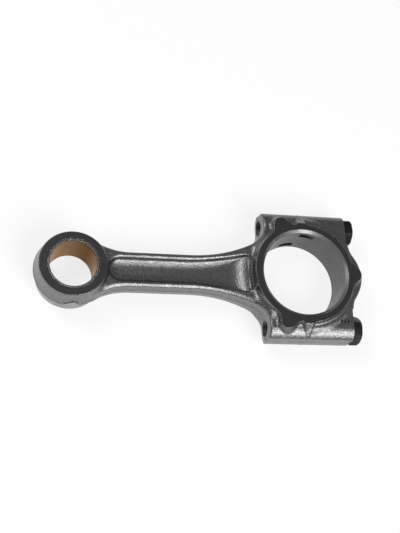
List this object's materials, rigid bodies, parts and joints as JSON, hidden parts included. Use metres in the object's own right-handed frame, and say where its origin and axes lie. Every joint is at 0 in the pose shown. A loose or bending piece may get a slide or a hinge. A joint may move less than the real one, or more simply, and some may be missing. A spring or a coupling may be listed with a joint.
{
  "type": "connecting rod",
  "caption": "Connecting rod for a small diesel engine: forged I-section rod with bolted big-end cap, two cap screws and a bronze small-end bush.",
  "frame": {"origin": "below the middle of the rod, on the surface that the big end lies on", "axes": "+X along the rod from the small end to the bearing cap, +Y across the two cap screws, +Z along both bores"},
  "size_m": [0.2466, 0.101, 0.0328],
  "materials": {
    "rod_forging": "shot-blasted drop forging with dark ground faces",
    "cap_forging": "shot-blasted drop forging with dark ground faces",
    "bronze": "fine-bored bronze, slightly tarnished",
    "black_steel": "black oxide, oiled",
    "dowel_steel": "ground"
  },
  "bodies": {
    "root": {"rod_body": "rod_forging", "bearing_cap": "cap_forging", "small_end_bush": "bronze", "cap_bolt_left": "black_steel", "cap_bolt_right": "black_steel", "ring_dowel_left": "dowel_steel", "ring_dowel_right": "dowel_steel"}
  },
  "joints": []
}
